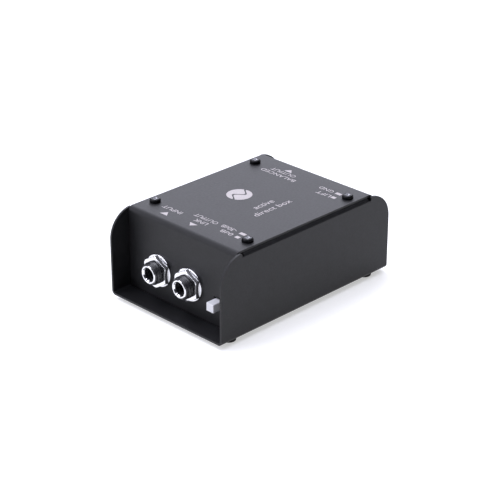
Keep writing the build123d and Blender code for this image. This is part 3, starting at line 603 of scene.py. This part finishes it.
def kind_of_box(material):
    """What the box is, in plain words that read along it."""
    for index, (words, centre_x, length) in enumerate(KIND_LINES):
        mesh = text_mesh(f"kind_{index}", words, length * MM, KIND_HEIGHT * MM)
        mesh.transform(lid_place(centre_x, 0.0, 90))
        add_piece(f"print_kind_{index}", mesh, material)


# --- Fine pieces -------------------------------------------------------------------------------------
def bush_radius(distance, length):
    """Radius of a jack's bush at a distance from its nut, tapered near its tip."""
    into_taper = max(0.0, distance - (length - BUSH_TAPER_LENGTH)) / BUSH_TAPER_LENGTH
    return BUSH_RADIUS + (BUSH_TIP_RADIUS - BUSH_RADIUS) * into_taper


def jack_threads(materials):
    """Rounded thread ridges on each bush, from its nut to its tip."""
    for name in ("input", "link"):
        low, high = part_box(f"{name}_jack_nut")
        middle = (low + high) / 2
        length = low.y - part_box(f"{name}_jack_ferrule")[0].y - FERRULE_STANDS_PROUD
        count = int(length / THREAD_PITCH * THREAD_STEPS)
        inside = THREAD_ROOT * THREAD_DEPTH
        outline = [(bush_radius(0.0, length) - inside, 0.0)]
        for step in range(count + 1):
            distance = step * THREAD_PITCH / THREAD_STEPS
            wave = 0.5 - 0.5 * cos(2 * pi * step / THREAD_STEPS)
            outline.append((bush_radius(distance, length) + THREAD_DEPTH * (wave - THREAD_SINK), distance))
        outline.append((bush_radius(distance, length) - inside, distance))
        place = Matrix.Translation((middle.x, low.y, middle.z)) @ Matrix.Rotation(radians(90), 4, "X")
        mesh = spun(f"{name}_jack_thread", outline, place)
        add_piece(f"{name}_jack_thread", mesh, materials["jack_moulding"])


def return_springs(material):
    """Copies of the return springs, which stand for them."""
    for name, side in (("pad", -1), ("ground_lift", 1)):
        node_name = f"{name}_switch_spring"
        spring = add_piece(node_name + ".coils", nodes[node_name].data.copy(), material)
        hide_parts(node_name)
        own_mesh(spring)


# --- Studio ------------------------------------------------------------------------------------------
def direction(azimuth, elevation):
    """Unit vector towards a place seen at this azimuth and elevation, azimuth 0 being in front."""
    a, e = radians(azimuth), radians(elevation)
    return Vector((sin(a) * cos(e), -cos(a) * cos(e), sin(e)))


def aimed(place, target):
    """Rotation that points -Z from a place to a target, with +Y up."""
    return (target - place).to_track_quat("-Z", "Y")


def add_camera():
    """The camera, at the fitted viewing angle."""
    data = bpy.data.cameras.new("camera")
    data.lens = CAMERA_LENS_MM
    data.sensor_width = SENSOR_WIDTH_MM
    camera = bpy.data.objects.new("camera", data)
    camera.location = CAMERA_AIM + CAMERA_DISTANCE * direction(CAMERA_AZIMUTH, CAMERA_ELEVATION)
    camera.rotation_mode = "QUATERNION"
    camera.rotation_quaternion = aimed(camera.location, CAMERA_AIM)
    bpy.context.scene.collection.objects.link(camera)
    bpy.context.scene.camera = camera


def add_lights():
    """Broad soft lights, so far away that they light the whole floor evenly."""
    for name, azimuth, elevation, width, irradiance in SOFT_LIGHTS:
        data = bpy.data.lights.new(name, "SUN")
        data.angle = radians(width)
        data.energy = irradiance
        data.color = COOL_WHITE
        lamp = bpy.data.objects.new(name, data)
        lamp.location = direction(azimuth, elevation)
        lamp.rotation_mode = "QUATERNION"
        lamp.rotation_quaternion = aimed(lamp.location, Vector((0, 0, 0)))
        bpy.context.scene.collection.objects.link(lamp)


def add_floor():
    """Plain pale floor, glowing a little so that its shadows stay soft and pale."""
    half = FLOOR_SIZE / 2
    corners = [(-half, -half, 0), (half, -half, 0), (half, half, 0), (-half, half, 0)]
    mesh = bpy.data.meshes.new("floor")
    mesh.from_pydata(corners, [], [(0, 1, 2, 3)])
    pale = new_material(
        "floor", (FLOOR_ALBEDO,) * 3, FLOOR_ROUGHNESS, Specular_IOR_Level=0.0,
        Emission_Color=(1.0, 1.0, 1.0, 1.0), Emission_Strength=FLOOR_GLOW,
    )
    mesh.materials.append(pale)
    floor = bpy.data.objects.new("floor", mesh)
    bpy.context.scene.collection.objects.link(floor)


def add_world():
    """Even pale surroundings."""
    world = bpy.data.worlds.new("studio")
    world.use_nodes = True
    background = world.node_tree.nodes["Background"]
    background.inputs["Color"].default_value = (*COOL_WHITE, 1.0)
    background.inputs["Strength"].default_value = WORLD_STRENGTH
    bpy.context.scene.world = world
    bpy.context.scene.view_settings.view_transform = "Standard"


add_camera()
add_world()
add_lights()
add_floor()
finishes = make_materials()
dress_nodes(finishes)
for sheet in ("chassis_base", "lid_cover"):
    rounded_copy(sheet, CASE_EDGE_ROUNDING, finishes["powder_coat"])
for jack in ("input", "link"):
    rounded_copy(f"{jack}_jack_nut", NUT_EDGE_ROUNDING, finishes["chrome"])
port_names(finishes["ink"])
button_marks(finishes["ink"])
arrows(finishes["ink"])
badge(finishes["ink"])
kind_of_box(finishes["ink"])
jack_threads(finishes)
return_springs(finishes["spring_steel"])
